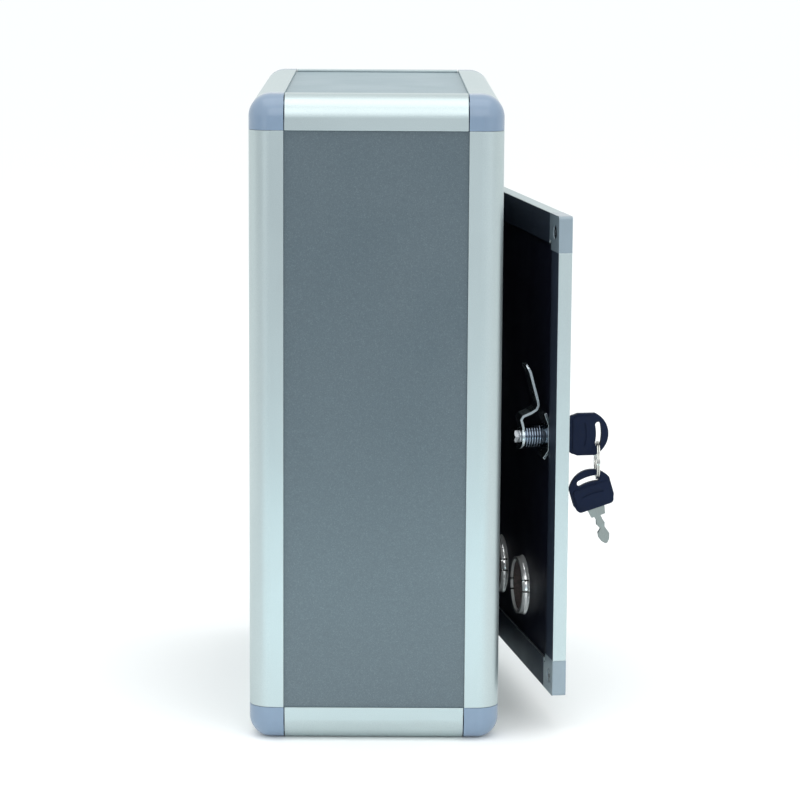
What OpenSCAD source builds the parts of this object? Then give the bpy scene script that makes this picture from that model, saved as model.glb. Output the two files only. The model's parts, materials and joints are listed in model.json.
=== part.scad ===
// Wall or table donation box: an aluminium rail frame with plastic corners and sheet panels,
// and a lockable front door with two round windows. The origin is the middle of the underside,
// +Z is up and the door faces -Y.

/* [Case] */
// Width across the front
case_w = 250; // [220:1:320]
// Depth from front to back
case_d = 130; // [115:1:180]
// Height
case_h = 336; // [320:1:420]

/* [Rails] */
// Width of each leg of an edge rail
rail_leg = 18; // [17.5:0.5:20]
// Radius of the rounded outer edge
rail_r = 11.5; // [10.5:0.5:11.5]
// Thickness of a panel sheet
sheet_t = 3; // [2.5:0.5:3]

/* [Door] */
// Height of the fixed front above the door, cross bar included
top_front_h = 44; // [42:1:70]
// Thickness of the door
door_t = 7.2; // [7:0.1:8]
// Width of the door's frame
door_frame_w = 16; // [15:0.5:18]
// Angle at which the door stands open
door_open = 10; // [0:1:90]
// Length of the piano hinge
hinge_l = 236; // [180:2:240]

/* [Windows] */
// Outer radius of a window's tube
window_r = 15.8; // [12:0.1:18]
// Distance between the two windows
window_pitch = 54; // [46:1:90]
// Height of the windows above the base
window_z = 61.5; // [55:0.5:110]

/* [Lock] */
// Distance from the door's free edge to the lock
lock_inset = 26; // [26:0.5:32]
// Height of the lock above the base
lock_z = 154.5; // [130:0.5:200]
// Reach of the cam from the lock's axis
cam_reach = 38.5; // [36:0.5:39]

/* [Keys] */
// Length of a key's plastic head
head_l = 21.3; // [20:0.1:22]
// Radius of the rounded end of the head
head_r = 12.4; // [12:0.1:12.6]
// Radius of the key ring to the middle of its wire
ring_r = 9.4; // [8.5:0.1:11]
// Lean of the hanging spare key
spare_lean = 17; // [10:1:20]

/* [Slot] */
// Length of the deposit slot
slot_l = 148; // [100:1:160]
// Height of the deposit slot
slot_h = 6; // [5:0.5:8]

/* [Hidden] */
$fn = 96;
over = 1;
fit = 0.1;

// Rail section: thin outer skin, a panel groove in each leg and a closed chamber in the corner
lip = 1.2;
groove_w = sheet_t + 0.2;
leg_t = lip + groove_w + lip;
groove_floor = 12;
skin = 1.3;
chamber_edge = groove_floor - skin;
slope_sum = leg_t + 11;
chamber_sum = slope_sum - skin * sqrt(2);
pin_at = 5.85;
pin_r = 2.1;
pin_l = 14;
panel_in = 5;
post_gap = 0.15;
rail_gap = 0.5;
corner_wall = 8.4;

// Front plane, cross bar and stop
front_y = -case_d / 2;
sheet_out = lip + fit;
door_top = case_h - rail_leg - top_front_h - 1;
door_bottom = rail_leg + 1;
bar_z = door_top + 1;
bar_h = 9;
bar_groove_z = 5;
stop_out = 8.2;
stop_t = 1.2;
stop_drop = 5;

// Door, in closed position
free_gap = 1;
hinge_gap = 2.1;
recess = 0.7;
door_x = -case_w / 2 + rail_leg + free_gap;
door_y = front_y + recess;
door_w = case_w - 2 * rail_leg - free_gap - hinge_gap;
door_h = door_top - door_bottom;
door_groove = [10, 1.2, 5.8];
door_wall = 1.3;
door_chamber = 8.7;
liner_t = 1.35;
sheet_in = door_groove[0] + 0.3;
sheet_v = door_groove[1] + fit;
liner_v = sheet_v + sheet_t + 0.05;
block_long = 21;
block_short = 14;
block_tall = 19;
block_narrow = 17.5;
block_round = 1.6;
block_screw_at = 9;
key_leg_l = 14;

// Piano hinge
hinge_x = case_w / 2 - rail_leg - hinge_gap / 2;
knuckle_r = 2.3;
hinge_y = front_y - knuckle_r;
hinge_pin_r = 1.2;
hinge_bore_r = 1.25;
leaf_t = 0.9;
leaf_gap = 0.3;
leaf_case_d = 7.8;
leaf_door_d = 9.8;
knuckles = 13;
knuckle_gap = 0.25;
hinge_z = door_bottom + (door_h - hinge_l) / 2;
knuckle_l = hinge_l / knuckles;
hinge_screws = 5;
screw_r = 1.05;
screw_hole_r = 1.1;
screw_head_r = 2;
screw_l = 5;

// Windows
tube_t = 1.5;
tube_end = door_t + 2.5;
window_flange_r = 19;
window_lip_r = 12.8;
lens_r = window_r - tube_t - 0.1;
lens_t = 2;
snap_turn = 9.5;
snap_half = 11.5;
slit_w = 1;
window_hole_r = window_r + 0.3;
window_s = [door_w / 2 - window_pitch / 2, door_w / 2 + window_pitch / 2];

// Lock: distances along its axis from the door's outer face, inward
lock_face = -1.2;
lock_flange_r = 9.8;
barrel_r = 6.5;
barrel_flats = 11.4;
barrel_end = 18.2;
plug_r = 5;
plug_fit = 0.05;
plug_end = 19.3;
neck_r = 5.8;
thread_pitch = 1.4;
thread_depth = 0.45;
thread_turns = 6;
thread_start = barrel_end - 1.2 - (thread_turns - 1) * thread_pitch;
clip_v = 5.75;
clip_t = 1.5;
clip_w = 17;
keyway_w = 2;
keyway_h = 6.6;
keyway_end = 16.6;
tang_r = 4;
tang_flats = 6;
cam_v = 19.35;
cam_t = 1.3;
cam_w = 12;
cam_hub_r = 7.2;
cam_screw_v = cam_v + cam_t;
lock_hole_r = barrel_r + 0.15;

// Strike plate on the lock side post
strike_h = 29;
strike_foot_h = 53;
strike_x = [-case_w / 2 + 11.4, -case_w / 2 + rail_leg - 0.3];
strike_y = [front_y + leg_t, front_y + 11.8];
strike_screw_dz = 21.5;

// Keys: a runs outward along the axis from the head's shoulder, b runs across the head
head_gap = 4.7;
head_t = 2.6;
head_w = 22.6;
head_base_w = 20.9;
head_corner_r = 2.4;
head_c = head_l - head_r;
eye_a = 16.1;
eye_bend_r = 24;
eye_r = 1.55;
eye_b = 5;
grip_t = 0.5;
grip_a = [1.9, 12.6];
grip_edge = 1.5;
groove_a = 8.7;
groove_b = 5.6;
groove_r = 0.6;
blade_t = 1.7;
blade_tang = 8;
tang_w = 5;
shoulder_l = 4.5;
shoulder_w = [9.4, 7.8];
// Bitting of each edge: distance from the head, then reach from the middle
cuts_below = [
    [4.7, 1.2], [7, 1.6], [9.2, 2.3], [11.2, 1.6], [13.5, 2.4], [15.6, 3.1], [18.5, 2.2], [20.3, 0.6]
];
cuts_above = [
    [4.7, 2.2], [6.5, 1.8], [9, 2.4], [11.6, 0.9], [13.4, 2.9], [16, 3.1], [18.5, 2.2], [20.3, 0.6]
];
wire_r = 1;
ring_turn = 9;
function bend_end(reach) = sqrt(eye_bend_r * eye_bend_r - reach * reach);
eye_end_a = eye_a - eye_bend_r + bend_end(eye_b);
ring_a = 15.65;
ring_top_b = -4.75;

// Back holes for hanging the box
wall_hole_r = 3.25;
wall_pitch = [160, 240];

// Slot frame
slot_frame_edge = 11;
slot_frame_t = 1.5;
slot_neck = 3;
slot_y = front_y + sheet_out;
slot_z = (bar_z + bar_h + case_h - rail_leg) / 2;
slot_depth = 6.5;

ALU = [0.76, 0.82, 0.82];
CORNER = [0.58, 0.65, 0.73];
PANEL = [0.38, 0.46, 0.49];
BLACK = [0.06, 0.06, 0.1];
STEEL = [0.72, 0.73, 0.74];
CHROME = [0.85, 0.86, 0.88];
CLEAR = [0.85, 0.9, 0.92, 0.6];
KEY_BLACK = [0.09, 0.1, 0.16];
NICKEL = [0.7, 0.72, 0.7];

// ---------------------------------------------------------------- helpers

module flip(axis, on) {
    if (on) mirror(axis) children();
    else children();
}

// Children are drawn for the corner at the lowest x, y and z, and move to the named corner
module at_corner(right, back, top) {
    translate([0, 0, case_h / 2])
        flip([1, 0, 0], right) flip([0, 1, 0], back) flip([0, 0, 1], top)
            translate([-case_w / 2, -case_d / 2, -case_h / 2]) children();
}

// Door coordinates: x from the free edge, y inward from the outer face, z as the case
module on_door() {
    translate([hinge_x, hinge_y, 0]) rotate([0, 0, door_open])
        translate([door_x - hinge_x, door_y - hinge_y, 0]) children();
}

module at_door_corner(hinge_side, top) {
    on_door() translate([door_w / 2, 0, (door_bottom + door_top) / 2])
        flip([1, 0, 0], hinge_side) flip([0, 0, 1], top)
            translate([-door_w / 2, 0, -door_h / 2]) children();
}

// Lock coordinates: z runs inward along the axis from the door's outer face, y is up
module on_lock() {
    on_door() translate([lock_inset, 0, lock_z]) rotate([-90, 0, 0]) flip([0, 1, 0], true) children();
}

// Key coordinates: x runs outward from the head's shoulder, y is up, z is the thickness
module on_key() {
    on_lock() translate([0, 0, lock_face - head_gap]) rotate([0, 90, 0]) children();
}

// The spare key hangs from the ring's lowest point by the end of its eye
module on_spare_key() {
    on_key() translate([ring_a, ring_top_b - 2 * ring_r, 0]) rotate([0, 0, 90 + spare_lean])
        translate([-eye_end_a, eye_b, 0]) children();
}

// Outline of a bent strip of even thickness whose middle line runs through the points
function along(p, i) = let (a = p[max(i - 1, 0)], b = p[min(i + 1, len(p) - 1)], d = b - a) d / norm(d);
function across(p, i) = let (d = along(p, i)) [-d[1], d[0]];
function strip(p, t) = concat(
    [for (i = [0 : len(p) - 1]) p[i] + across(p, i) * t / 2],
    [for (i = [len(p) - 1 : -1 : 0]) p[i] - across(p, i) * t / 2]);

module rounded_rect(w, h, r) {
    square([w - 2 * r, h], center = true);
    square([w, h - 2 * r], center = true);
    for (x = [-1, 1], y = [-1, 1]) translate([x * (w / 2 - r), y * (h / 2 - r)]) circle(r);
}

// A square with its corner at the origin, rounded there only
module rounded_corner(size, r) {
    translate([r, 0]) square([size - r, size]);
    translate([0, r]) square([size, size - r]);
    intersection() {
        translate([r, r]) circle(r);
        square(r);
    }
}

// ---------------------------------------------------------------- case frame

module panel_grooves() {
    translate([groove_floor, lip]) square([rail_leg, groove_w]);
    translate([lip, groove_floor]) square([groove_w, rail_leg]);
}

module rail_chamber() {
    rest = chamber_sum - chamber_edge;
    intersection() {
        translate([rail_r, rail_r]) circle(rail_r - skin);
        polygon([[0, 0], [chamber_edge, 0], [chamber_edge, rest], [rest, chamber_edge], [0, chamber_edge]]);
    }
}

module rail_section() {
    far = rail_leg + over;
    start = slope_sum - leg_t;
    difference() {
        rounded_corner(rail_leg, rail_r);
        polygon([[start, leg_t], [far, leg_t], [far, far], [leg_t, far], [leg_t, start]]);
        panel_grooves();
        rail_chamber();
    }
}

module post(right, back) {
    color(ALU) at_corner(right, back, false)
        translate([0, 0, rail_leg + post_gap]) linear_extrude(case_h - 2 * rail_leg - 2 * post_gap)
            rail_section();
}

module cross_rail(back, top) {
    l = case_w - 2 * rail_leg - 2 * rail_gap;
    color(ALU) at_corner(false, back, top)
        translate([rail_leg + rail_gap, 0, 0]) rotate([90, 0, 90]) linear_extrude(l) rail_section();
}

module side_rail(right, top) {
    l = case_d - 2 * rail_leg - 2 * rail_gap;
    color(ALU) at_corner(right, false, top)
        translate([0, rail_leg + rail_gap + l, 0]) rotate([90, 0, 0]) linear_extrude(l) rail_section();
}

module ball_octant() {
    translate([rail_r, rail_r, rail_r]) rotate([0, 0, 180]) mirror([0, 0, 1])
        rotate_extrude(angle = 90) intersection() {
            circle(rail_r);
            square(rail_r);
        }
}

module edge_block() {
    translate([0, 0, rail_r]) linear_extrude(rail_leg - rail_r) rounded_corner(rail_leg, rail_r);
}

module corner_solid() {
    ball_octant();
    edge_block();
    rotate([90, 0, 90]) edge_block();
    translate([0, rail_leg + rail_r, 0]) rotate([90, 0, 0]) edge_block();
}

module corner_pins() {
    l = rail_leg + pin_l - rail_r;
    translate([pin_at, pin_at, rail_r]) cylinder(r = pin_r, h = l);
    translate([rail_r, pin_at, pin_at]) rotate([0, 90, 0]) cylinder(r = pin_r, h = l);
    translate([pin_at, rail_r, pin_at]) rotate([-90, 0, 0]) cylinder(r = pin_r, h = l);
}

module case_corner(right, back, top) {
    cut = rail_leg;
    color(CORNER) at_corner(right, back, top) difference() {
        union() {
            corner_solid();
            corner_pins();
        }
        translate([corner_wall, corner_wall, corner_wall]) cube(cut);
        translate([groove_floor, lip, groove_floor]) cube([cut, groove_w, cut]);
        translate([lip, groove_floor, groove_floor]) cube([groove_w, cut, cut]);
        translate([groove_floor, groove_floor, lip]) cube([cut, cut, groove_w]);
    }
}

// The strike plate's two screws go through the inner lip of the lock side post
module post_front_left() {
    difference() {
        post(false, false);
        strike_screws(screw_hole_r);
    }
}

// ---------------------------------------------------------------- case panels

module side_panel(right) {
    inset = rail_leg - panel_in;
    color(PANEL) at_corner(right, false, false) translate([sheet_out, inset, inset])
        cube([sheet_t, case_d - 2 * inset, case_h - 2 * inset]);
}

module back_panel() {
    inset = rail_leg - panel_in;
    color(PANEL) difference() {
        at_corner(false, true, false) translate([inset, sheet_out, inset])
            cube([case_w - 2 * inset, sheet_t, case_h - 2 * inset]);
        for (x = [-1, 1], z = [-1, 1])
            translate([x * wall_pitch[0] / 2, case_d / 2 + over, case_h / 2 + z * wall_pitch[1] / 2])
                rotate([90, 0, 0]) cylinder(r = wall_hole_r, h = rail_leg);
    }
}

module flat_panel(top) {
    inset = rail_leg - panel_in;
    color(PANEL) at_corner(false, false, top) translate([inset, inset, sheet_out])
        cube([case_w - 2 * inset, case_d - 2 * inset, sheet_t]);
}

module front_panel() {
    inset = rail_leg - panel_in;
    z0 = bar_z + bar_groove_z + 0.2;
    color(PANEL) difference() {
        translate([-case_w / 2 + inset, front_y + sheet_out, z0])
            cube([case_w - 2 * inset, sheet_t, case_h - inset - z0]);
        slot_prism(
            slot_l + 2 * slot_neck + 2 * fit, slot_h + 2 * slot_neck + 2 * fit, -over, sheet_t + over
        );
    }
}

// A rounded prism through the front at the slot, from depth y0 to y1 behind the panel's face
module slot_prism(w, h, y0, y1) {
    translate([0, slot_y + y1, slot_z]) rotate([90, 0, 0]) linear_extrude(y1 - y0) rounded_rect(w, h, 2.4);
}

module slot_frame() {
    color(STEEL) difference() {
        union() {
            slot_prism(slot_l + 2 * slot_frame_edge, slot_h + 2 * slot_frame_edge - 6, -slot_frame_t, 0);
            slot_prism(slot_l + 2 * slot_neck, slot_h + 2 * slot_neck, -0.2, slot_depth);
        }
        slot_prism(slot_l, slot_h, -slot_frame_t - over, slot_depth + over);
    }
}

// ---------------------------------------------------------------- door opening

module bar_section() {
    difference() {
        union() {
            square([leg_t, bar_h]);
            square([stop_out + stop_t, stop_t]);
            translate([stop_out, -stop_drop]) square([stop_t, stop_drop + stop_t]);
        }
        translate([lip, bar_groove_z]) square([groove_w, bar_h]);
    }
}

module cross_bar() {
    l = case_w - 2 * rail_leg - 0.2;
    tongue_l = l + 2 * panel_in;
    color(ALU) union() {
        translate([-l / 2, front_y, bar_z]) rotate([90, 0, 90]) linear_extrude(l) bar_section();
        translate([-tongue_l / 2, front_y + sheet_out, bar_z + 0.3])
            cube([tongue_l, sheet_t, bar_groove_z - 0.6]);
    }
}

// Fills the panel groove beside the door and takes the hinge's screws
module hinge_strip() {
    end = 4;
    color(ALU) difference() {
        translate([case_w / 2 - rail_leg, front_y + sheet_out, hinge_z - end])
            cube([panel_in + 0.7, sheet_t, hinge_l + 2 * end]);
        hinge_holes() rotate([0, 90, 0]) cylinder(r = screw_hole_r, h = rail_leg);
    }
}

module hinge_holes() {
    step = hinge_l / hinge_screws;
    for (i = [0 : hinge_screws - 1])
        translate([hinge_x, front_y + sheet_out + sheet_t / 2, hinge_z + (i + 0.5) * step]) children();
}

module strike_plate() {
    t = 1;
    x0 = strike_x[0];
    w = strike_x[1] - x0;
    color(STEEL) difference() {
        union() {
            translate([x0, strike_y[0], lock_z - strike_foot_h / 2]) cube([w, t, strike_foot_h]);
            translate([x0, strike_y[1] - t, lock_z - strike_h / 2]) cube([w, t, strike_h]);
            translate([strike_x[1] - t, strike_y[0], lock_z - strike_h / 2])
                cube([t, strike_y[1] - strike_y[0], strike_h]);
        }
        strike_screws(screw_hole_r);
    }
}

module strike_screws(r) {
    for (z = [-1, 1])
        translate([(strike_x[0] + strike_x[1]) / 2, strike_y[0] + 1.4, lock_z + z * strike_screw_dz])
            rotate([90, 0, 0]) cylinder(r = r, h = 3.4);
}

module case_screws() {
    color(STEEL) {
        hinge_holes() translate([hinge_gap / 2 - leaf_t, 0, 0]) rotate([0, 90, 0]) flush_screw();
        strike_screws(screw_r);
        for (z = [-1, 1])
            translate([(strike_x[0] + strike_x[1]) / 2, strike_y[0] + 1.05, lock_z + z * strike_screw_dz])
                rotate([-90, 0, 0]) cylinder(r1 = screw_head_r, r2 = screw_r, h = leaf_t);
    }
}

// Countersunk screw, head flush at z = 0, shank along +z
module flush_screw() {
    cylinder(r1 = screw_head_r, r2 = screw_r, h = leaf_t);
    cylinder(r = screw_r, h = screw_l);
}

module flush_hole() {
    cylinder(r1 = screw_head_r + 0.05, r2 = screw_hole_r, h = leaf_t + 0.02);
    translate([0, 0, -over]) cylinder(r = screw_hole_r, h = screw_l + over);
}

// ---------------------------------------------------------------- hinge

// Knuckle i sits on the case when i is even and on the door when it is odd
module knuckle(i) {
    translate([hinge_x, hinge_y, hinge_z + i * knuckle_l + knuckle_gap / 2])
        cylinder(r = knuckle_r, h = knuckle_l - knuckle_gap);
}

module knuckle_notch(i) {
    translate([hinge_x, hinge_y, hinge_z + i * knuckle_l - knuckle_gap / 2])
        cylinder(r = knuckle_r + 0.35, h = knuckle_l + knuckle_gap);
}

module leaf(x0, depth, own) {
    difference() {
        union() {
            difference() {
                translate([x0, hinge_y, hinge_z]) cube([leaf_t, depth, hinge_l]);
                for (i = [1 - own : 2 : knuckles - 1]) knuckle_notch(i);
            }
            for (i = [own : 2 : knuckles - 1]) knuckle(i);
        }
        translate([hinge_x, hinge_y, hinge_z - over]) cylinder(r = hinge_bore_r, h = hinge_l + 2 * over);
    }
}

module hinge_case_leaf() {
    x0 = hinge_x + hinge_gap / 2 - leaf_t;
    color(STEEL) difference() {
        leaf(x0, leaf_case_d, 0);
        hinge_holes() translate([hinge_gap / 2 - leaf_t, 0, 0]) rotate([0, 90, 0]) flush_hole();
    }
}

module door_leaf_place() {
    translate([hinge_x, hinge_y, 0]) rotate([0, 0, door_open])
        translate([-hinge_x, -hinge_y, 0]) children();
}

// Screw places on the door's hinge edge, pointing into the stile
module door_leaf_screws() {
    step = hinge_l / hinge_screws;
    for (i = [1 : hinge_screws - 1])
        translate([hinge_x - hinge_gap / 2 + leaf_t, door_y + door_t / 2, hinge_z + i * step])
            rotate([0, -90, 0]) children();
}

module hinge_door_leaf() {
    color(STEEL) door_leaf_place() difference() {
        leaf(hinge_x - hinge_gap / 2, leaf_door_d, 1);
        door_leaf_screws() flush_hole();
    }
}

module hinge_door_screws() {
    color(STEEL) door_leaf_place() door_leaf_screws() flush_screw();
}

module hinge_pin() {
    head_r = 1.9;
    color(STEEL) translate([hinge_x, hinge_y, hinge_z]) union() {
        translate([0, 0, -0.8]) cylinder(r = hinge_pin_r, h = hinge_l + 1.6);
        for (z = [-0.9, hinge_l + 0.1]) translate([0, 0, z]) cylinder(r = head_r, h = 0.8);
    }
}

// ---------------------------------------------------------------- door frame

module door_section() {
    difference() {
        square([door_frame_w, door_t]);
        translate([door_groove[0], door_groove[1]])
            square([door_frame_w, door_groove[2] - door_groove[1]]);
        translate([door_wall, door_wall]) square([door_chamber - door_wall, door_t - 2 * door_wall]);
    }
}

module door_stile(hinge_side) {
    color(ALU) at_door_corner(hinge_side, false) translate([0, 0, block_tall])
        linear_extrude(door_h - 2 * block_tall) door_section();
}

module door_stile_hinge() {
    difference() {
        door_stile(true);
        door_leaf_place() door_leaf_screws() cylinder(r = screw_hole_r, h = screw_l + over);
    }
}

module door_rail(top) {
    l = door_w - 2 * block_long;
    color(ALU) at_door_corner(false, top) translate([block_long + l, 0, 0]) rotate([0, -90, 0])
        linear_extrude(l) door_section();
}

module block_outline() {
    intersection() {
        rounded_corner(block_long, block_round);
        polygon([
            [0, 0], [block_long, 0], [block_long, block_short], [block_narrow, block_short],
            [block_narrow, block_tall], [0, block_tall]
        ]);
    }
}

// Plastic corner of the door's frame with a leg pushed into the stile and another into the rail
module door_corner(hinge_side, top) {
    leg = door_chamber - door_wall - 0.3;
    leg_v = door_t - 2 * door_wall - 0.3;
    leg_at = door_wall + 0.15;
    cut = block_long;
    color(CORNER) at_door_corner(hinge_side, top) difference() {
        union() {
            translate([0, door_t, 0]) rotate([90, 0, 0]) linear_extrude(door_t) block_outline();
            translate([leg_at, leg_at, leg_at]) cube([block_long + key_leg_l, leg_v, leg]);
            translate([leg_at, leg_at, leg_at]) cube([leg, leg_v, block_tall + key_leg_l]);
        }
        translate([door_groove[0], door_groove[1], door_groove[0]])
            cube([cut, door_groove[2] - door_groove[1], cut]);
        translate([block_screw_at, door_t + over, block_screw_at]) rotate([90, 0, 0]) {
            cylinder(r = 3.9, h = 1.4 + over);
            cylinder(r = 1.4, h = 6 + over);
        }
    }
}

module door_corner_screws() {
    color(STEEL) for (side = [false, true], top = [false, true])
        at_door_corner(side, top) translate([block_screw_at, door_t - 0.3, block_screw_at])
            rotate([90, 0, 0]) difference() {
                union() {
                    cylinder(r = 3.3, h = 1.1);
                    cylinder(r = 1.35, h = 5.4);
                }
                translate([0, 0, -over]) cylinder(r = 1.3, h = over + 0.7, $fn = 6);
            }
}

module door_cutouts() {
    for (s = window_s) translate([s, door_t, window_z]) rotate([90, 0, 0])
        cylinder(r = window_hole_r, h = door_t);
    translate([lock_inset, door_t, lock_z]) rotate([90, 0, 0]) cylinder(r = lock_hole_r, h = door_t);
}

module door_sheet(v, t) {
    on_door() difference() {
        translate([sheet_in, v, door_bottom + sheet_in])
            cube([door_w - 2 * sheet_in, t, door_h - 2 * sheet_in]);
        door_cutouts();
    }
}

module door_panel() {
    color(PANEL) door_sheet(sheet_v, sheet_t);
}

module door_liner() {
    color(BLACK) door_sheet(liner_v, liner_t);
}

// ---------------------------------------------------------------- windows

// Window coordinates: z runs inward from the door's outer face
module on_window(i) {
    on_door() translate([window_s[i], 0, window_z]) rotate([-90, 0, 0]) children();
}

module window_bezel(i) {
    tube_in = window_r - tube_t;
    color(CHROME) on_window(i) difference() {
        union() {
            rotate_extrude() polygon([
                [window_lip_r, -0.3], [window_flange_r - 0.5, -0.3], [window_flange_r, 0.3],
                [window_flange_r, sheet_v - 0.05], [window_r, sheet_v - 0.05], [window_r, tube_end],
                [tube_in, tube_end], [tube_in, 1], [window_lip_r, 1]
            ]);
            rotate_extrude() polygon([
                [window_r - 0.2, door_groove[2] + 0.1], [window_r + 0.8, door_groove[2] + 0.1],
                [window_r, door_groove[2] + 1.9], [window_r - 0.2, door_groove[2] + 1.9]
            ]);
        }
        for (side = [0, 180], edge = [-1, 1]) rotate([0, 0, side + snap_turn + edge * snap_half])
            translate([tube_in - over, -slit_w / 2, door_groove[2]])
                cube([tube_t + 3 * over, slit_w, tube_end]);
    }
}

module window_lens(i) {
    color(CLEAR) on_window(i) translate([0, 0, 1.05]) cylinder(r = lens_r, h = lens_t);
}

// ---------------------------------------------------------------- lock

module double_d(r, flats) {
    intersection() {
        circle(r);
        square([2 * r, flats], center = true);
    }
}

module thread_groove(z) {
    polygon([
        [barrel_r - thread_depth, z], [barrel_r + over, z - thread_pitch / 2 + 0.1],
        [barrel_r + over, z + thread_pitch / 2 - 0.1]
    ]);
}

// Flanged barrel with a neck for the clip and a thread beyond it
module lock_housing() {
    color(CHROME) on_lock() difference() {
        union() {
            rotate_extrude() polygon([
                [0, lock_face], [lock_flange_r - 1.2, lock_face], [lock_flange_r, lock_face + 1],
                [lock_flange_r, sheet_v - 0.05], [0, sheet_v - 0.05]
            ]);
            linear_extrude(barrel_end) double_d(barrel_r, barrel_flats);
        }
        difference() {
            translate([0, 0, clip_v - 0.02]) cylinder(r = barrel_r + over, h = clip_t + 0.14);
            cylinder(r = neck_r, h = barrel_end);
        }
        translate([0, 0, lock_face - over])
            cylinder(r = plug_r + plug_fit, h = barrel_end - lock_face + 2 * over);
        for (i = [0 : thread_turns - 1]) rotate_extrude() thread_groove(thread_start + i * thread_pitch);
    }
}

module lock_plug() {
    color(CHROME) on_lock() difference() {
        union() {
            translate([0, 0, lock_face + 0.2]) cylinder(r = plug_r, h = plug_end - lock_face - 0.2);
            linear_extrude(cam_screw_v - 0.05) double_d(tang_r, tang_flats);
        }
        translate([-keyway_w / 2, -keyway_h / 2, lock_face - over])
            cube([keyway_w, keyway_h, keyway_end - lock_face + over]);
        translate([0, 0, keyway_end + 0.5]) cylinder(r = 1.5, h = plug_end);
    }
}

// Spring clip round the barrel's neck, its two wings bent away from the door
module lock_clip() {
    z = clip_v + clip_t / 2;
    lower = 6.8;
    upper = 6.7;
    color(STEEL) on_lock() difference() {
        translate([-clip_w / 2, 0, 0]) rotate([90, 0, 90]) linear_extrude(clip_w)
            polygon(strip([[-11.2, z + 2.9], [-lower, z], [upper, z], [12.9, z + 2.4]], clip_t));
        translate([0, 0, z - over]) cylinder(r = neck_r + 0.1, h = 2 * over);
        translate([0, -neck_r - 0.1, z - over]) cube([clip_w, 2 * neck_r + 0.2, 2 * over]);
    }
}

// Bowed hub on the plug's end, a crank towards the door and a tongue that slopes back
module lock_cam() {
    z = cam_v + cam_t / 2;
    tip_r = 2.4;
    color(STEEL) on_lock() difference() {
        intersection() {
            translate([-cam_w, 0, 0]) rotate([90, 0, 90]) linear_extrude(2 * cam_w)
                polygon(strip([
                    [-cam_hub_r, z + 1.6], [-6, z + 0.6], [-4.8, z], [4.8, z], [7, z + 0.5],
                    [9.4, z + 1.2], [11.2, z + 0.2], [13, z - 4.2], [14.6, z - 6.8],
                    [16.8, z - 7.9], [18.8, z - 7.7], [34.5, z - 3.4], [cam_reach, z - 1.6]
                ], cam_t));
            linear_extrude(2 * z) union() {
                circle(cam_hub_r);
                translate([-cam_w / 2, 0]) square([cam_w, cam_reach - tip_r]);
                translate([-cam_w / 2 + tip_r, 0]) square([cam_w - 2 * tip_r, cam_reach + over]);
                for (x = [-1, 1]) translate([x * (cam_w / 2 - tip_r), cam_reach - tip_r]) circle(tip_r);
            }
        }
        linear_extrude(2 * z) double_d(tang_r + 0.05, tang_flats + 0.1);
    }
}

// Screw into the plug's end, with a washer and a rounded hexagon head
module cam_screw() {
    dome_r = 4.9;
    color(STEEL) on_lock() union() {
        translate([0, 0, keyway_end + 0.8]) cylinder(r = 1.45, h = cam_screw_v - keyway_end);
        translate([0, 0, cam_screw_v]) cylinder(r = 4.6, h = 0.9);
        translate([0, 0, cam_screw_v + 0.8]) intersection() {
            cylinder(r = 3.7, h = 3.5, $fn = 6);
            translate([0, 0, -1]) sphere(dome_r);
        }
    }
}

// ---------------------------------------------------------------- keys

// A gently bent slot across the head, with round ends
module bent_slot(a, reach, r) {
    translate([a - eye_bend_r, 0]) {
        intersection() {
            difference() {
                circle(eye_bend_r + r);
                circle(eye_bend_r - r);
            }
            translate([0, -reach]) square([2 * eye_bend_r, 2 * reach]);
        }
        for (side = [-1, 1]) translate([bend_end(reach), side * reach]) circle(r);
    }
}

// Raised pad between the shoulder and the eye
module grip_outline() {
    intersection() {
        translate([head_c, 0]) circle(head_r - grip_edge);
        translate([(grip_a[0] + grip_a[1]) / 2, 0])
            rounded_rect(grip_a[1] - grip_a[0], head_w - 2 * grip_edge, 1.6);
    }
}

module head_outline() {
    shoulder = head_base_w / 2 - head_corner_r;
    intersection() {
        translate([head_c, 0]) circle(head_r);
        translate([head_c / 2, -head_w / 2]) square([head_l, head_w]);
    }
    polygon([
        [0, -shoulder], [head_corner_r, -head_base_w / 2], [head_c / 2, -head_w / 2], [head_c, -head_w / 2],
        [head_c, head_w / 2], [head_c / 2, head_w / 2], [head_corner_r, head_base_w / 2], [0, shoulder]
    ]);
    for (side = [-1, 1]) translate([head_corner_r, side * shoulder]) circle(head_corner_r);
}

module head_body() {
    color(KEY_BLACK) difference() {
        union() {
            translate([0, 0, -head_t / 2]) linear_extrude(head_t) head_outline();
            translate([0, 0, -head_t / 2 - grip_t]) linear_extrude(head_t + 2 * grip_t) difference() {
                grip_outline();
                bent_slot(groove_a, groove_b, groove_r);
            }
        }
        translate([0, 0, -head_t]) linear_extrude(2 * head_t) bent_slot(eye_a, eye_b, eye_r);
        translate([-over, -tang_w / 2 - 0.05, -blade_t / 2 - 0.05])
            cube([blade_tang + over + 0.05, tang_w + 0.1, blade_t + 0.1]);
    }
}

module blade_body() {
    last = len(cuts_above) - 1;
    color(NICKEL) translate([0, 0, -blade_t / 2]) linear_extrude(blade_t) polygon(concat(
        [[blade_tang, -tang_w / 2], [-0.1, -tang_w / 2]],
        [[-0.1, -shoulder_w[0] / 2], [-shoulder_l, -shoulder_w[1] / 2]],
        [for (cut = cuts_below) [-cut[0], -cut[1]]],
        [for (i = [last : -1 : 0]) [-cuts_above[i][0], cuts_above[i][1]]],
        [[-shoulder_l, shoulder_w[1] / 2], [-0.1, shoulder_w[0] / 2]],
        [[-0.1, tang_w / 2], [blade_tang, tang_w / 2]]
    ));
}

module key_head() {
    on_key() head_body();
}

module key_blade() {
    on_key() blade_body();
}

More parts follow.
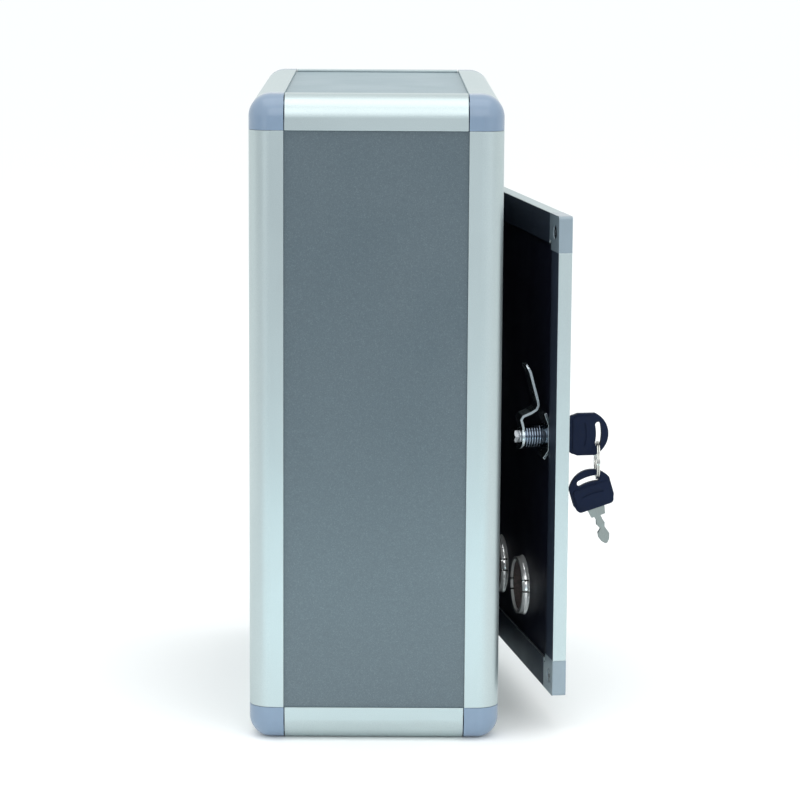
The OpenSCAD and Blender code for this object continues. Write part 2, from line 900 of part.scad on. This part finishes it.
module key_ring() {
    color(NICKEL) on_key() translate([ring_a, ring_top_b - ring_r, 0]) rotate([0, 90 + ring_turn, 0])
        rotate_extrude() translate([ring_r, 0]) circle(wire_r);
}

module spare_key_head() {
    on_spare_key() head_body();
}

module spare_key_blade() {
    on_spare_key() blade_body();
}

post_front_left();
post(true, false);  // post_front_right
post(false, true);  // post_back_left
post(true, true);  // post_back_right
cross_rail(false, true);  // top_rail_front
cross_rail(true, true);  // top_rail_back
side_rail(false, true);  // top_rail_left
side_rail(true, true);  // top_rail_right
cross_rail(false, false);  // bottom_rail_front
cross_rail(true, false);  // bottom_rail_back
side_rail(false, false);  // bottom_rail_left
side_rail(true, false);  // bottom_rail_right
case_corner(false, false, true);  // corner_top_front_left
case_corner(true, false, true);  // corner_top_front_right
case_corner(false, true, true);  // corner_top_back_left
case_corner(true, true, true);  // corner_top_back_right
case_corner(false, false, false);  // corner_bottom_front_left
case_corner(true, false, false);  // corner_bottom_front_right
case_corner(false, true, false);  // corner_bottom_back_left
case_corner(true, true, false);  // corner_bottom_back_right
side_panel(false);  // left_panel
side_panel(true);  // right_panel
back_panel();
flat_panel(true);  // top_panel
flat_panel(false);  // bottom_panel
front_panel();
cross_bar();
slot_frame();
hinge_strip();
strike_plate();
case_screws();
hinge_case_leaf();
hinge_door_leaf();
hinge_pin();
hinge_door_screws();
door_stile(false);  // door_stile_lock
door_stile_hinge();
door_rail(true);  // door_rail_top
door_rail(false);  // door_rail_bottom
door_corner(false, true);  // door_corner_top_lock
door_corner(true, true);  // door_corner_top_hinge
door_corner(false, false);  // door_corner_bottom_lock
door_corner(true, false);  // door_corner_bottom_hinge
door_corner_screws();
door_panel();
door_liner();
window_bezel(0);  // window_bezel_lock
window_bezel(1);  // window_bezel_hinge
window_lens(0);  // window_lens_lock
window_lens(1);  // window_lens_hinge
lock_housing();
lock_plug();
lock_clip();
lock_cam();
cam_screw();
key_head();
key_blade();
key_ring();
spare_key_head();
spare_key_blade();
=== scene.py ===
"""Donation box with an aluminium rail frame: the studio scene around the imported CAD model."""
import json
import math

import bmesh
import bpy
from mathutils import Matrix, Vector


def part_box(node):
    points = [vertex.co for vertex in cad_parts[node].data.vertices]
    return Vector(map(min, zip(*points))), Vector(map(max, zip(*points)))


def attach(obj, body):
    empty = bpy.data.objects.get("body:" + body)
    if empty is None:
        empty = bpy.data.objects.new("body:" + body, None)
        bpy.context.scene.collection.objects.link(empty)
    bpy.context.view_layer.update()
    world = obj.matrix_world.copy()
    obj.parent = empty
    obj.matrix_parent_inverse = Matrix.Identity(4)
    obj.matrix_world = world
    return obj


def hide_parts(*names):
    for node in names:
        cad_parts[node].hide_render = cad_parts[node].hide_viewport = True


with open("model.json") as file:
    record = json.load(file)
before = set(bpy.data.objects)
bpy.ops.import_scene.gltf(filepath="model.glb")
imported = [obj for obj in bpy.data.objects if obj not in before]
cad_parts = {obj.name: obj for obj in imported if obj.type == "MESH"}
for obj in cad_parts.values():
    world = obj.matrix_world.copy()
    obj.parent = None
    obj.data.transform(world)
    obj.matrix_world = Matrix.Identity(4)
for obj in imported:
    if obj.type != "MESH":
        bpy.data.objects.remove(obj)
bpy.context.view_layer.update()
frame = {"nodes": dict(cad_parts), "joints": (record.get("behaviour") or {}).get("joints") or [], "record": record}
NODES = frame["nodes"]
SUBPARTS = frame["record"]["subparts"]
JOINT_AXES = {joint["name"]: Vector(joint["axis"]) for joint in frame["joints"]}
MM = 0.001
MICRON = 0.001 * MM


def middle(name):
    """Centre of a node's box in the row frame."""
    low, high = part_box(name)
    return (low + high) / 2


def half_size(name, axis):
    """Half of a node's length along an axis."""
    places = [axis.dot(vertex.co) for vertex in NODES[name].data.vertices]
    return (max(places) - min(places)) / 2


def longest_axis(name):
    """The letter of the frame axis that a node is longest along."""
    low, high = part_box(name)
    return max("xyz", key=lambda letter: getattr(high - low, letter))


OUT = JOINT_AXES["key_withdraw"]
UP = Vector((0, 0, 1))
CASE_MIDDLE = (middle("left_panel") + middle("right_panel")) / 2


# ------------------------------------------------------------------ camera, light and floor

# Metres, radians and millimetres of focal length, from the camera fit to the photograph.
CAMERA_AT = Vector((-1.6125, -0.0026, 0.4294))
CAMERA_YAW = -0.00677
CAMERA_PITCH = 0.16573
CAMERA_ROLL = 0.00611
CAMERA_LENS = 132.67
CAMERA_CLIP_END = 60

# The floor goes from its painted shade in front to white between these two places along X, in metres. The grey in
# front is painted shade for the dimmer camera side of the studio.
FLOOR_FADE = (-1.1, -0.2)
FLOOR_PAINTED_SHADE = (0.35, 0.37, 0.39, 1)
FLOOR_WHITE = (0.93, 0.94, 0.94, 1)
FLOOR_HALF = 30

# The tent goes from its opening to its wall as (TENT_RISE * Z + X) of the direction goes across the fade.
TENT_FADE = (-0.96, -0.2)
TENT_RISE = 1.6
TENT_OPENING = (0.55, 0.6, 0.66, 1)
TENT_WALL = (0.98, 1.0, 1.0, 1)
TENT_STRENGTH = 1.08


def make_camera():
    """Looks at the box's lock side from 1.6 m away and a little above its top."""
    ahead = Vector((
        math.cos(CAMERA_YAW) * math.cos(CAMERA_PITCH),
        math.sin(CAMERA_YAW) * math.cos(CAMERA_PITCH),
        -math.sin(CAMERA_PITCH),
    ))
    right = ahead.cross(UP).normalized()
    up = right.cross(ahead)
    turned_right = right * math.cos(CAMERA_ROLL) + up * math.sin(CAMERA_ROLL)
    turned_up = up * math.cos(CAMERA_ROLL) - right * math.sin(CAMERA_ROLL)
    data = bpy.data.cameras.new("camera")
    data.lens = CAMERA_LENS
    data.clip_end = CAMERA_CLIP_END
    camera = bpy.data.objects.new("camera", data)
    bpy.context.scene.collection.objects.link(camera)
    turn = Matrix((turned_right, turned_up, -ahead)).transposed().to_4x4()
    camera.matrix_world = Matrix.Translation(CAMERA_AT) @ turn
    bpy.context.scene.camera = camera


def make_light(name, at, aim, size, power, colour=(1, 1, 1)):
    """A rectangular softbox at a place, pointed at another."""
    data = bpy.data.lights.new(name, "AREA")
    data.shape = "RECTANGLE"
    data.size, data.size_y = size
    data.energy = power
    data.color = colour
    light = bpy.data.objects.new(name, data)
    light.location = at
    light.rotation_euler = (Vector(aim) - Vector(at)).to_track_quat("-Z", "Y").to_euler()
    bpy.context.scene.collection.objects.link(light)


def make_lights():
    """Two large softboxes light the box, and three weak ones lift its shaded edges and its foot."""
    box_upper = (0, 0, 0.2)
    box_lower = (0, 0, 0.15)
    door_edge = (-0.1, -0.1, 0.15)
    side_foot = (-0.12, 0, 0.05)
    bluish = (0.6, 0.92, 1)
    make_light("top_box", at=(-0.3, 0, 1.6), aim=box_upper, size=(1.8, 1.2), power=8)
    make_light("front_box", at=(-2.2, -0.5, 1.35), aim=box_upper, size=(2.4, 1.6), power=15)
    make_light("fill_box", at=(-1.2, 0.75, 0.3), aim=door_edge, size=(0.5, 0.5), power=0.6)
    make_light("side_box", at=(-1.1, -1.1, 0.3), aim=box_lower, size=(0.8, 0.8), power=0.9)
    make_light("low_box", at=(-0.42, 0, 0.02), aim=side_foot, size=(0.6, 0.03), power=0.14, colour=bluish)


def fade(tree, value, span, first, last):
    """Goes from the first colour to the last as a value goes across a span."""
    place = tree.nodes.new("ShaderNodeMapRange")
    place.inputs["From Min"].default_value, place.inputs["From Max"].default_value = span
    ramp = tree.nodes.new("ShaderNodeValToRGB")
    ramp.color_ramp.elements[0].color = first
    ramp.color_ramp.elements[1].color = last
    tree.links.new(value, place.inputs["Value"])
    tree.links.new(place.outputs["Result"], ramp.inputs["Fac"])
    return ramp.outputs["Color"]


def make_world():
    """A white tent that turns bluish grey low on the camera's side."""
    world = bpy.data.worlds.new("tent")
    world.use_nodes = True
    bpy.context.scene.world = world
    tree = world.node_tree
    tree.nodes.clear()
    where = tree.nodes.new("ShaderNodeTexCoord")
    split = tree.nodes.new("ShaderNodeSeparateXYZ")
    height = tree.nodes.new("ShaderNodeMath")
    light = tree.nodes.new("ShaderNodeBackground")
    out = tree.nodes.new("ShaderNodeOutputWorld")
    height.operation = "MULTIPLY_ADD"
    height.inputs[1].default_value = TENT_RISE
    light.inputs["Strength"].default_value = TENT_STRENGTH
    tree.links.new(where.outputs["Generated"], split.inputs[0])
    tree.links.new(split.outputs["Z"], height.inputs[0])
    tree.links.new(split.outputs["X"], height.inputs[2])
    colour = fade(tree, height.outputs["Value"], TENT_FADE, TENT_OPENING, TENT_WALL)
    tree.links.new(colour, light.inputs["Color"])
    tree.links.new(light.outputs[0], out.inputs["Surface"])


def make_floor():
    """A white sheet with painted shade: it turns pale grey some way in front of the box."""
    mesh = bpy.data.meshes.new("floor")
    corners = [(FLOOR_HALF * x, FLOOR_HALF * y, 0) for x, y in ((-1, -1), (1, -1), (1, 1), (-1, 1))]
    mesh.from_pydata(corners, [], [(0, 1, 2, 3)])
    floor = bpy.data.objects.new("floor", mesh)
    bpy.context.scene.collection.objects.link(floor)
    paint = Paint("floor_white", FLOOR_WHITE, roughness=0.9, Specular_IOR_Level=0.1)
    split = paint.tree.nodes.new("ShaderNodeSeparateXYZ")
    paint.tree.links.new(paint.where.outputs["Object"], split.inputs[0])
    # Painted shade: the floor turns grey in front of the box.
    colour = fade(paint.tree, split.outputs["X"], FLOOR_FADE, FLOOR_PAINTED_SHADE, FLOOR_WHITE)
    paint.tree.links.new(colour, paint.shader.inputs["Base Color"])
    mesh.materials.append(paint.material)


# ------------------------------------------------------------------ materials


def srgb(r, g, b):
    """A display colour from 0 to 255 as the linear colour that shaders take."""
    def linear(c):
        c /= 255
        return c / 12.92 if c <= 0.04045 else ((c + 0.055) / 1.055) ** 2.4
    return (linear(r), linear(g), linear(b), 1)


def dimmed(colour, share):
    """A colour with its red, green and blue brought down to a share."""
    return tuple(c * share for c in colour[:3]) + (1,)


def drawn_out(axis, share):
    """Noise stretch for features that run along an axis. The share is their thickness over their length."""
    return tuple(share if letter == axis else 1 for letter in "xyz")


class Paint:
    """A material with one Principled shader, and the nodes that vary its colour, gloss and relief."""

    def __init__(self, name, colour, metallic=0.0, roughness=0.5, **sockets):
        self.material = bpy.data.materials.new(name)
        self.material.use_nodes = True
        self.tree = self.material.node_tree
        self.shader = self.tree.nodes["Principled BSDF"]
        self.where = self.tree.nodes.new("ShaderNodeTexCoord")
        self.colour = colour
        self.shader.inputs["Base Color"].default_value = colour
        self.shader.inputs["Metallic"].default_value = metallic
        self.shader.inputs["Roughness"].default_value = roughness
        for socket, value in sockets.items():
            self.shader.inputs[socket.replace("_", " ")].default_value = value

    def noise(self, scale, detail=3, stretch=(1, 1, 1), roughness=0.55):
        """Noise in the part's own metres: scale is features a metre."""
        place = self.tree.nodes.new("ShaderNodeMapping")
        place.inputs["Scale"].default_value = stretch
        noise = self.tree.nodes.new("ShaderNodeTexNoise")
        noise.inputs["Scale"].default_value = scale
        noise.inputs["Detail"].default_value = detail
        noise.inputs["Roughness"].default_value = roughness
        self.tree.links.new(self.where.outputs["Object"], place.inputs["Vector"])
        self.tree.links.new(place.outputs["Vector"], noise.inputs["Vector"])
        return noise.outputs["Fac"]

    def spread(self, value, low, high, start, stop):
        """Maps the part of a noise from start to stop to a range of values."""
        ranged = self.tree.nodes.new("ShaderNodeMapRange")
        ranged.inputs["From Min"].default_value = start
        ranged.inputs["From Max"].default_value = stop
        ranged.inputs["To Min"].default_value = low
        ranged.inputs["To Max"].default_value = high
        self.tree.links.new(value, ranged.inputs["Value"])
        return ranged.outputs["Result"]

    def tint(self, value, shade, start=0.3, stop=0.7):
        """Mixes the colour so far towards another where the value is high."""
        mix = self.tree.nodes.new("ShaderNodeMix")
        mix.data_type = "RGBA"
        socket = self.shader.inputs["Base Color"]
        if socket.is_linked:
            self.tree.links.new(socket.links[0].from_socket, mix.inputs["A"])
        else:
            mix.inputs["A"].default_value = self.colour
        mix.inputs["B"].default_value = shade
        self.tree.links.new(self.spread(value, 0, 1, start, stop), mix.inputs["Factor"])
        self.tree.links.new(mix.outputs["Result"], socket)

    def gloss(self, value, low, high, start=0.3, stop=0.7):
        """Varies the roughness between two values."""
        ranged = self.spread(value, low, high, start, stop)
        self.tree.links.new(ranged, self.shader.inputs["Roughness"])

    def relief(self, value, depth, strength=1.0):
        """Adds a bump of that depth in metres on the bumps so far."""
        bump = self.tree.nodes.new("ShaderNodeBump")
        bump.inputs["Strength"].default_value = strength
        bump.inputs["Distance"].default_value = depth
        self.tree.links.new(value, bump.inputs["Height"])
        socket = self.shader.inputs["Normal"]
        if socket.is_linked:
            self.tree.links.new(socket.links[0].from_socket, bump.inputs["Normal"])
        self.tree.links.new(bump.outputs["Normal"], socket)


def rail_aluminium(axis):
    """Satin anodised extrusion: a fine blasted grain and faint die lines along its length."""
    paint = Paint("rail_aluminium_" + axis, srgb(189, 201, 202), metallic=1.0, roughness=0.42)
    lines = paint.noise(3000, detail=2, stretch=drawn_out(axis, 0.01))
    grain = paint.noise(3200)
    paint.tint(grain, srgb(179, 192, 194), start=0.4, stop=0.65)
    paint.gloss(paint.noise(14), 0.39, 0.46)
    paint.relief(lines, 2.5 * MICRON)
    paint.relief(grain, 6 * MICRON)
    return paint.material


def corner_plastic(name, colour):
    """Moulded plastic: even colour, a soft shine and the slightest ripple."""
    paint = Paint(name, colour, roughness=0.38, Coat_Weight=0.35, Coat_Roughness=0.12)
    paint.tint(paint.noise(60, detail=2), dimmed(colour, 0.93))
    paint.gloss(paint.noise(120), 0.29, 0.40)
    paint.relief(paint.noise(2600), 10 * MICRON)
    paint.relief(paint.noise(90, detail=2), 60 * MICRON, strength=0.4)
    return paint.material


def panel_sheet():
    """Grey film with a fine pebbled texture, mottled a little darker and flecked a little paler."""
    paint = Paint(
        "panel_sheet", srgb(70, 86, 95), roughness=0.36, Specular_IOR_Level=0.9,
        Sheen_Weight=0.3, Sheen_Tint=srgb(210, 245, 255),
    )
    grain = paint.noise(1500, detail=4, roughness=0.7)
    paint.tint(grain, srgb(60, 76, 84), start=0.36, stop=0.64)
    paint.tint(paint.noise(2300, detail=2), srgb(89, 105, 112), start=0.52, stop=0.72)
    paint.gloss(paint.noise(25), 0.33, 0.40)
    paint.relief(grain, 40 * MICRON, strength=0.8)
    return paint.material


def dark_anodising():
    """Painted shade on the inner faces of the door's frame: a satin dark navy, not metal, in place of their
    reflection of the box's dark inside.
    """
    paint = Paint("dark_anodising", srgb(42, 51, 66), roughness=0.5, Specular_IOR_Level=0.4)
    grain = paint.noise(2600)
    paint.tint(grain, srgb(52, 62, 78), start=0.45)
    paint.gloss(paint.noise(40), 0.46, 0.54)
    paint.relief(grain, 6 * MICRON)
    return paint.material


def board_backing():
    """Painted shade on the case panels' inner faces: a dark grey-blue, slightly scuffed."""
    paint = Paint("board_backing", srgb(34, 38, 50), roughness=0.55)
    paint.tint(paint.noise(140, detail=5, roughness=0.65), srgb(46, 51, 62), start=0.45, stop=0.75)
    paint.gloss(paint.noise(60, detail=4), 0.48, 0.62)
    paint.relief(paint.noise(1500), 30 * MICRON)
    return paint.material


def black_liner():
    """Smooth black sheet inside the door, with faint dust and wiping marks."""
    paint = Paint("black_liner", srgb(21, 23, 40), roughness=0.42, Specular_IOR_Level=0.35)
    paint.tint(paint.noise(1900), srgb(31, 34, 52), start=0.5, stop=0.75)
    paint.gloss(paint.noise(45, detail=4), 0.38, 0.46)
    paint.relief(paint.noise(2400, detail=2), 10 * MICRON)
    return paint.material


def plated(name, colour, roughness, metallic=1.0, hair_share=0.05):
    """Polished or plated metal with upright hairlines and faint clouds in its polish."""
    paint = Paint(name, colour, metallic, roughness)
    hairs = paint.noise(2500, stretch=drawn_out("z", hair_share))
    paint.tint(hairs, dimmed(colour, 0.9), start=0.45)
    paint.gloss(paint.noise(160, detail=4), 0.8 * roughness, 1.25 * roughness)
    paint.relief(hairs, 6 * MICRON)
    paint.relief(paint.noise(500), 6 * MICRON, strength=0.5)
    return paint.material


def brushed_steel():
    """Steel strip with fine brush lines across the box."""
    paint = Paint("brushed_steel", srgb(178, 183, 188), metallic=1.0, roughness=0.3)
    lines = paint.noise(1600, detail=2, stretch=drawn_out("x", 0.008))
    paint.tint(lines, srgb(160, 165, 170), start=0.4, stop=0.65)
    paint.gloss(paint.noise(700, detail=2, stretch=drawn_out("x", 0.01)), 0.25, 0.36)
    paint.relief(lines, 8 * MICRON)
    return paint.material


def key_plastic():
    """Dark moulded grips with a fine spark texture and an uneven shine from handling."""
    paint = Paint("key_plastic", srgb(12, 24, 48), roughness=0.5, Specular_IOR_Level=0.12)
    paint.tint(paint.noise(500), srgb(18, 27, 46), start=0.5, stop=0.75)
    paint.gloss(paint.noise(260), 0.42, 0.58)
    paint.relief(paint.noise(3600), 30 * MICRON)
    return paint.material


def lens_clear():
    """Clear plastic disc with faint handling marks."""
    paint = Paint("lens_clear", srgb(232, 238, 236), roughness=0.03, Transmission_Weight=1.0, IOR=1.49)
    paint.gloss(paint.noise(160, detail=4), 0.02, 0.09, start=0.4)
    paint.relief(paint.noise(220, detail=2), 10 * MICRON)
    return paint.material


def gasket_rubber():
    """Dark brown rubber with a dusty bloom."""
    paint = Paint("gasket_rubber", srgb(52, 42, 42), roughness=0.5)
    paint.tint(paint.noise(700, detail=4), srgb(82, 66, 64), start=0.4)
    paint.gloss(paint.noise(300), 0.36, 0.6)
    paint.relief(paint.noise(1800), 30 * MICRON)
    return paint.material


def make_finishes():
    """One material for each slot of the record, apart from the aluminium ones."""
    return {
        "corner_plastic": corner_plastic("corner_plastic", srgb(120, 140, 162)),
        "door_corner_plastic": corner_plastic("door_corner_plastic", srgb(133, 148, 158)),
        "panel_sheet": panel_sheet(),
        "black_liner": black_liner(),
        # The bezel's tube takes a pale, half-metallic copy of the chrome. It is partly a guess at metallic-look
        # plastic and partly painted highlight for the bright glow of its walls.
        "bezel_chrome": plated("bezel_chrome", srgb(252, 254, 254), 0.1, metallic=0.5),
        "lock_chrome": plated("lock_chrome", srgb(118, 130, 144), 0.13),
        "zinc_steel": plated("zinc_steel", srgb(176, 186, 190), 0.22),
        "brushed_steel": brushed_steel(),
        "screw_steel": plated("screw_steel", srgb(166, 170, 175), 0.24),
        "key_plastic": key_plastic(),
        "key_nickel": plated("key_nickel", srgb(140, 146, 144), 0.4, hair_share=0.2),
        "ring_steel": plated("ring_steel", srgb(205, 205, 200), 0.2),
        "lens_clear": lens_clear(),
    }


def paint_faces(obj, material, towards, facing):
    """Gives a second finish to the faces whose normal has more than that cosine with a direction."""
    obj.data.materials.append(material)
    for polygon in obj.data.polygons:
        if polygon.normal.dot(towards.normalized()) > facing:
            polygon.material_index = 1


def paint_nodes(finishes):
    """Gives every CAD node its material. Aluminium gets the one whose lines run along the node."""
    aluminium = {axis: rail_aluminium(axis) for axis in "xyz"}
    inner_shade = board_backing()
    dark = dark_anodising()
    front_chrome = plated("bezel_front_chrome", srgb(196, 204, 210), 0.12)
    for part in SUBPARTS:
        name, slot = part["node"], part["material_slot"]
        obj = NODES[name]
        obj.data.materials.clear()
        obj.data.materials.append(finishes.get(slot) or aluminium[longest_axis(name)])
        # The case panels' faces that look inwards take painted shade.
        if slot == "panel_sheet" and name != "door_panel":
            paint_faces(obj, inner_shade, towards=CASE_MIDDLE - middle(name), facing=0.7)
        # The inner faces of the door's frame take painted shade instead of aluminium.
        if slot == "door_aluminium":
            paint_faces(obj, dark, towards=-OUT, facing=0.95)
        # Faces of the bezel that look outwards get the plain chrome. The rest keep the pale copy, which is partly
        # painted highlight.
        if slot == "bezel_chrome":
            paint_faces(obj, front_chrome, towards=OUT, facing=0.1)


# ------------------------------------------------------------------ edges

EDGE_SEGMENTS = 2
EDGE_ANGLE = math.radians(32)
WELD_GAP = 0.01 * MM

# Slots that aren't named here keep their sharp edges.
EDGE_WIDTHS = {
    "rail_aluminium": 0.22 * MM,
    "door_aluminium": 0.25 * MM,
    "corner_plastic": 0.35 * MM,
    "door_corner_plastic": 0.35 * MM,
    "black_liner": 0.1 * MM,
    "brushed_steel": 0.15 * MM,
    "zinc_steel": 0.2 * MM,
    "screw_steel": 0.1 * MM,
    "lock_chrome": 0.12 * MM,
    "bezel_chrome": 0.15 * MM,
    "key_plastic": 0.4 * MM,
    "key_nickel": 0.12 * MM,
}


def soften(obj, width):
    """Breaks an object's sharp edges by a small width so that they catch light."""
    weld = obj.modifiers.new("weld", "WELD")
    weld.merge_threshold = WELD_GAP
    bevel = obj.modifiers.new("bevel", "BEVEL")
    bevel.width = width
    bevel.segments = EDGE_SEGMENTS
    bevel.limit_method = "ANGLE"
    bevel.angle_limit = EDGE_ANGLE
    bevel.harden_normals = True
    normals = obj.modifiers.new("normals", "WEIGHTED_NORMAL")
    normals.keep_sharp = True


def soften_nodes():
    """Softens each CAD node by its slot's width."""
    for part in SUBPARTS:
        slot = part["material_slot"]
        if slot in EDGE_WIDTHS:
            soften(NODES[part["node"]], EDGE_WIDTHS[slot])


# ------------------------------------------------------------------ pieces with more detail


def add_piece(name, verts, faces, material, body, smooth_below=40):
    """A new mesh in the row frame, riding on a body. Edges under that many degrees are smooth."""
    mesh = bpy.data.meshes.new(name)
    mesh.from_pydata([tuple(v) for v in verts], [], faces)
    build = bmesh.new()
    build.from_mesh(mesh)
    bmesh.ops.recalc_face_normals(build, faces=build.faces)
    build.to_mesh(mesh)
    build.free()
    mesh.materials.append(material)
    mesh.shade_smooth()
    mesh.set_sharp_from_angle(angle=math.radians(smooth_below))
    obj = bpy.data.objects.new(name, mesh)
    bpy.context.scene.collection.objects.link(obj)
    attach(obj, body)
    return obj


def swept(rings, closed=False):
    """Joins rings of points into a tube, with flat ends where it isn't closed."""
    count = len(rings[0])
    verts = [point for ring in rings for point in ring]
    faces = []
    for i in range(len(rings) - (0 if closed else 1)):
        here, there = i * count, (i + 1) % len(rings) * count
        for k in range(count):
            after = (k + 1) % count
            faces.append((here + k, here + after, there + after, there + k))
    if not closed:
        faces.append(tuple(range(count)))
        faces.append(tuple(range(len(verts) - count, len(verts))))
    return verts, faces


LATHE_STEPS = 96


def lathe(profile, centre, axis, side):
    """Turns a closed outline of (radius, height) points about an axis."""
    across = axis.cross(side)
    rings = []
    for i in range(LATHE_STEPS):
        turn = 2 * math.pi * i / LATHE_STEPS
        spoke = side * math.cos(turn) + across * math.sin(turn)
        rings.append([centre + spoke * r + axis * h for r, h in profile])
    return swept(rings, closed=True)


# The wire starts at RING_START radians. Its coils lie to either side of the CAD ring's middle plane, by a
# share of that ring's half thickness. The wire's half width and height are shares of that shift. Its middle
# lies inside the CAD ring's rim by a multiple of its half width.
RING_TURNS = 1.96
RING_STEPS = 96
RING_START = 2.2
RING_CROSSOVER = math.radians(50)
COIL_SHIFT = 0.48
WIRE_HALF_WIDTH = 1.35
WIRE_HALF_HEIGHT = 0.94
WIRE_INSET = 1.25
WIRE_STEPS = 16
WIRE_SQUARENESS = 0.6


def squared(value):
    """Pushes a sine or cosine outwards, so that a circle becomes a rounded square."""
    return math.copysign(abs(value) ** WIRE_SQUARENESS, value)


def wire_section(half_width, half_height):
    """Outline of the flat wire, with rounded corners."""
    turns = [2 * math.pi * k / WIRE_STEPS for k in range(WIRE_STEPS)]
    return [(half_width * squared(math.cos(t)), half_height * squared(math.sin(t))) for t in turns]


def make_split_ring(material):
    """Two coils of flat wire pressed together, crossing over once, in the plain CAD ring's space."""
    centre = middle("key_ring")
    axis = JOINT_AXES["ring_swing"]
    side = axis.cross(UP).normalized()
    coil = COIL_SHIFT * half_size("key_ring", axis)
    half_width = WIRE_HALF_WIDTH * coil
    section = wire_section(half_width, WIRE_HALF_HEIGHT * coil)
    radius = half_size("key_ring", UP) - WIRE_INSET * half_width
    rings = []
    for i in range(int(RING_TURNS * RING_STEPS)):
        turn = 2 * math.pi * i / RING_STEPS
        crossing = max(-1, min(1, (turn - math.pi * RING_TURNS) / RING_CROSSOVER))
        shift = coil * math.sin(crossing * math.pi / 2)
        spoke = side * math.cos(turn + RING_START) + UP * math.sin(turn + RING_START)
        rings.append([centre + spoke * (radius + r) + axis * (shift + h) for r, h in section])
    verts, faces = swept(rings)
    piece = add_piece("split_ring", verts, faces, material, "ring", smooth_below=50)
    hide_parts("key_ring")


GASKET_WALL = 0.7 * MM
GASKET_LENGTH = 5.2 * MM
GASKET_EDGE = 0.2 * MM
GASKET_GAP = 0.03 * MM


def make_gaskets():
    """A rubber sleeve behind each lens that holds it in the bezel's tube."""
    rubber = gasket_rubber()
    for side in ("lock", "hinge"):
        lens = "window_lens_" + side
        outer = half_size(lens, UP)
        inner = outer - GASKET_WALL
        start = half_size(lens, OUT) + GASKET_GAP
        end = start + GASKET_LENGTH
        profile = [
            (outer - GASKET_EDGE, start), (outer, start + GASKET_EDGE),
            (outer, end - GASKET_EDGE), (outer - GASKET_EDGE, end),
            (inner + GASKET_EDGE, end), (inner, end - GASKET_EDGE),
            (inner, start + GASKET_EDGE), (inner + GASKET_EDGE, start),
        ]
        verts, faces = lathe(profile, middle(lens), -OUT, UP)
        add_piece("window_gasket_" + side, verts, faces, rubber, "door")


make_camera()
make_world()
make_floor()
make_lights()
finishes = make_finishes()
paint_nodes(finishes)
soften_nodes()
make_split_ring(finishes["ring_steel"])
make_gaskets()

bpy.context.scene.view_settings.view_transform = "Standard"
